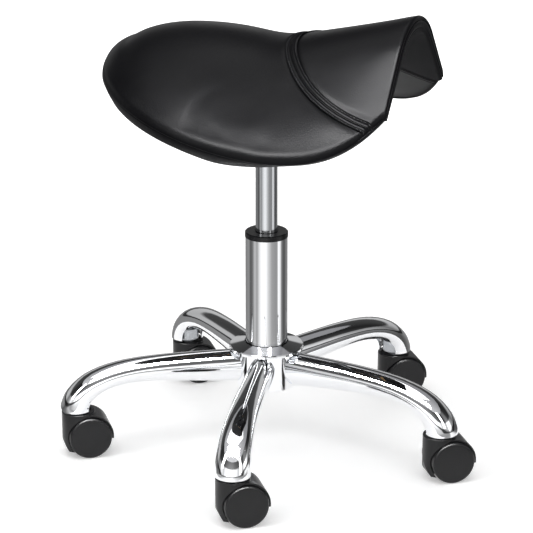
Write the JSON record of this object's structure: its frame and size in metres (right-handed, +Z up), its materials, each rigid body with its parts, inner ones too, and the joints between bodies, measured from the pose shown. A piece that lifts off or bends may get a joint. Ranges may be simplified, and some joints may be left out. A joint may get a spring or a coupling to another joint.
{
  "type": "saddle stool",
  "caption": "Black saddle stool with a gas lift on a chromed base with twin-wheel casters.",
  "frame": {"origin": "on the floor, on the axis of the column", "axes": "+Z up along the column, +X the way the rider faces, +Y the rider's left"},
  "size_m": [0.4901, 0.4967, 0.5405],
  "materials": {
    "chromed_steel": "polished",
    "bright_steel": "ground",
    "zinc_plated_steel": "satin",
    "black_painted_steel": "satin",
    "black_nylon": "satin",
    "black_rubber": "matt",
    "black_leather": "smooth, satin",
    "underside_fabric": "matt",
    "moulded_foam": "open cells",
    "plywood": "raw"
  },
  "bodies": {
    "base": {"base_hub": "chromed_steel", "hub_cover_ring": "chromed_steel", "leg_1": "chromed_steel", "leg_2": "chromed_steel", "leg_3": "chromed_steel", "leg_4": "chromed_steel", "leg_5": "chromed_steel", "caster_sockets": "zinc_plated_steel", "column_tube": "chromed_steel", "guide_bush": "black_nylon", "thrust_bearing": "bright_steel"},
    "spindle": {"piston_rod": "bright_steel", "rod_clip": "zinc_plated_steel", "piston": "bright_steel", "piston_ring": "black_rubber", "bearing_upper_washer": "bright_steel", "rubber_buffer": "black_rubber"},
    "seat": {"gas_cylinder": "bright_steel", "rod_seal": "black_rubber", "seat_plate": "black_painted_steel", "plate_screws": "zinc_plated_steel", "threaded_inserts": "zinc_plated_steel", "lever_pivot_pin": "zinc_plated_steel", "packing_block": "plywood", "seat_pan": "plywood", "seat_foam": "moulded_foam", "front_cover_panel": "black_leather", "rear_cover_panel": "black_leather", "seam_strips": "black_leather", "side_band": "black_leather", "arch_lining": "black_leather", "bottom_cover": "underside_fabric"},
    "lever": {"release_lever": "zinc_plated_steel", "lever_grip": "black_nylon"},
    "valve": {"valve_pin": "zinc_plated_steel"},
    "caster_1": {"caster_stem_1": "zinc_plated_steel", "caster_housing_1": "black_nylon", "caster_axle_1": "zinc_plated_steel"},
    "wheel_left_1": {"caster_wheel_left_1": "black_nylon"},
    "wheel_right_1": {"caster_wheel_right_1": "black_nylon"},
    "caster_2": {"caster_stem_2": "zinc_plated_steel", "caster_housing_2": "black_nylon", "caster_axle_2": "zinc_plated_steel"},
    "wheel_left_2": {"caster_wheel_left_2": "black_nylon"},
    "wheel_right_2": {"caster_wheel_right_2": "black_nylon"},
    "caster_3": {"caster_stem_3": "zinc_plated_steel", "caster_housing_3": "black_nylon", "caster_axle_3": "zinc_plated_steel"},
    "wheel_left_3": {"caster_wheel_left_3": "black_nylon"},
    "wheel_right_3": {"caster_wheel_right_3": "black_nylon"},
    "caster_4": {"caster_stem_4": "zinc_plated_steel", "caster_housing_4": "black_nylon", "caster_axle_4": "zinc_plated_steel"},
    "wheel_left_4": {"caster_wheel_left_4": "black_nylon"},
    "wheel_right_4": {"caster_wheel_right_4": "black_nylon"},
    "caster_5": {"caster_stem_5": "zinc_plated_steel", "caster_housing_5": "black_nylon", "caster_axle_5": "zinc_plated_steel"},
    "wheel_left_5": {"caster_wheel_left_5": "black_nylon"},
    "wheel_right_5": {"caster_wheel_right_5": "black_nylon"}
  },
  "joints": [
    {"name": "seat_swivel", "type": "hinge", "parent": "base", "child": "spindle", "pos_m": [0, 0, 0.1], "axis": [0, 0, 1], "continuous": true},
    {"name": "seat_lift", "type": "slide", "parent": "spindle", "child": "seat", "axis": [0, 0, 1], "range_m": [-0.083, 0.04]},
    {"name": "lever_tilt", "type": "hinge", "parent": "seat", "child": "lever", "pos_m": [0, 0.022, 0.4369], "axis": [1, 0, 0], "range_deg": [0, 5.5], "stiffness_Nm_per_rad": 3, "springref_deg": -2.86},
    {"name": "valve_press", "type": "slide", "parent": "seat", "child": "valve", "axis": [0, 0, 1], "range_m": [-0.0035, 0]},
    {"name": "caster_swivel_1", "type": "hinge", "parent": "base", "child": "caster_1", "pos_m": [0.22695, -0.02185, 0.06], "axis": [0, 0, 1], "continuous": true},
    {"name": "wheel_left_spin_1", "type": "hinge", "parent": "caster_1", "child": "wheel_left_1", "pos_m": [0.23574, -0.01523, 0.0255], "axis": [-0.6018, 0.7986, 0], "continuous": true},
    {"name": "wheel_right_spin_1", "type": "hinge", "parent": "caster_1", "child": "wheel_right_1", "pos_m": [0.23574, -0.01523, 0.0255], "axis": [-0.6018, 0.7986, 0], "continuous": true},
    {"name": "caster_swivel_2", "type": "hinge", "parent": "base", "child": "caster_2", "pos_m": [0.09091, 0.20909, 0.06], "axis": [0, 0, 1], "continuous": true},
    {"name": "wheel_left_spin_2", "type": "hinge", "parent": "caster_2", "child": "wheel_left_2", "pos_m": [0.0997, 0.21571, 0.0255], "axis": [-0.6018, 0.7986, 0], "continuous": true},
    {"name": "wheel_right_spin_2", "type": "hinge", "parent": "caster_2", "child": "wheel_right_2", "pos_m": [0.0997, 0.21571, 0.0255], "axis": [-0.6018, 0.7986, 0], "continuous": true},
    {"name": "caster_swivel_3", "type": "hinge", "parent": "base", "child": "caster_3", "pos_m": [-0.17076, 0.15108, 0.06], "axis": [0, 0, 1], "continuous": true},
    {"name": "wheel_left_spin_3", "type": "hinge", "parent": "caster_3", "child": "wheel_left_3", "pos_m": [-0.16198, 0.1577, 0.0255], "axis": [-0.6018, 0.7986, 0], "continuous": true},
    {"name": "wheel_right_spin_3", "type": "hinge", "parent": "caster_3", "child": "wheel_right_3", "pos_m": [-0.16198, 0.1577, 0.0255], "axis": [-0.6018, 0.7986, 0], "continuous": true},
    {"name": "caster_swivel_4", "type": "hinge", "parent": "base", "child": "caster_4", "pos_m": [-0.19645, -0.11572, 0.06], "axis": [0, 0, 1], "continuous": true},
    {"name": "wheel_left_spin_4", "type": "hinge", "parent": "caster_4", "child": "wheel_left_4", "pos_m": [-0.18767, -0.1091, 0.0255], "axis": [-0.6018, 0.7986, 0], "continuous": true},
    {"name": "wheel_right_spin_4", "type": "hinge", "parent": "caster_4", "child": "wheel_right_4", "pos_m": [-0.18767, -0.1091, 0.0255], "axis": [-0.6018, 0.7986, 0], "continuous": true},
    {"name": "caster_swivel_5", "type": "hinge", "parent": "base", "child": "caster_5", "pos_m": [0.04935, -0.22259, 0.06], "axis": [0, 0, 1], "continuous": true},
    {"name": "wheel_left_spin_5", "type": "hinge", "parent": "caster_5", "child": "wheel_left_5", "pos_m": [0.05813, -0.21598, 0.0255], "axis": [-0.6018, 0.7986, 0], "continuous": true},
    {"name": "wheel_right_spin_5", "type": "hinge", "parent": "caster_5", "child": "wheel_right_5", "pos_m": [0.05813, -0.21598, 0.0255], "axis": [-0.6018, 0.7986, 0], "continuous": true}
  ],
  "couplings": [
    {"joint": "valve_press", "follows": "lever_tilt", "m_per_rad": -0.0245}
  ]
}
